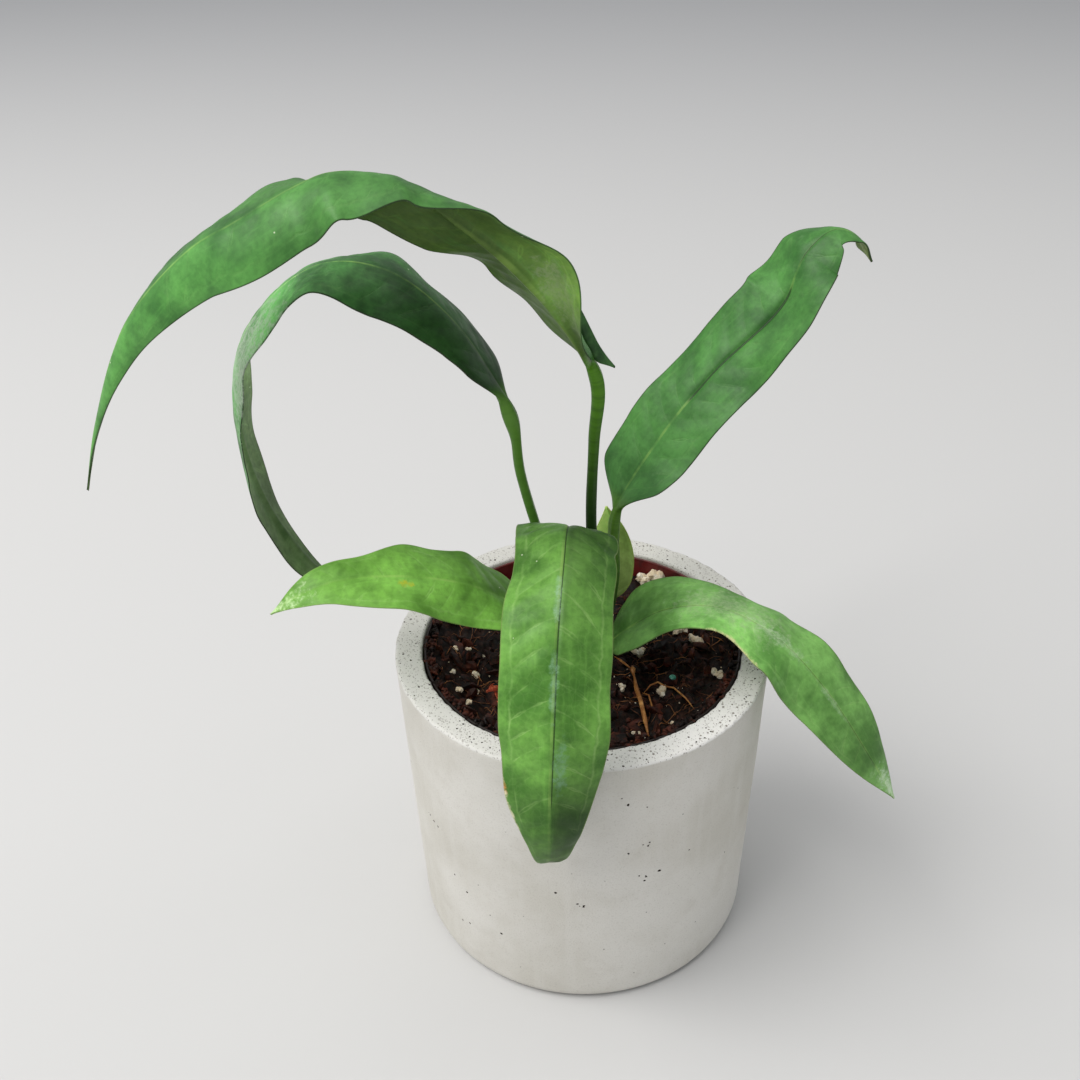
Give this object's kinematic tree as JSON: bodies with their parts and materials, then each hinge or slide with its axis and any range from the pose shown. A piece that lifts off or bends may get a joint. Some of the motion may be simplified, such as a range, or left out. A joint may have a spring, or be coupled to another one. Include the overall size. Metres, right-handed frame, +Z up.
{
  "type": "potted anthurium vittariifolium",
  "caption": "Strap-leaved anthurium with arching and hanging blades, growing in a nursery pot inside a plain concrete cover pot.",
  "frame": {"origin": "centre of the cover pot's flat underside", "axes": "+Z up along the pot's axis, -Y towards the viewer of the picture, +X to the right"},
  "size_m": [0.2994, 0.1717, 0.3366],
  "materials": {
    "concrete": "matte cast concrete with fine pits and a speckled rim",
    "nursery_plastic": "thin dark red nursery pot plastic",
    "potting_mix": "moist dark mix of peat, bark, perlite and root fibres",
    "stem": "matte green to brown stem with old leaf scars",
    "leaf": "satin green leaf with a raised midrib, paler and duller underneath",
    "young_leaf": "soft yellow green young leaf"
  },
  "bodies": {
    "root": {"cover_pot": "concrete", "grow_pot": "nursery_plastic", "potting_mix": "potting_mix", "crown": "stem", "leaf_tall": "leaf", "leaf_arching": "leaf", "leaf_upright": "leaf", "leaf_front": "leaf", "leaf_left": "leaf", "leaf_right": "leaf", "leaf_young": "young_leaf"}
  },
  "joints": []
}
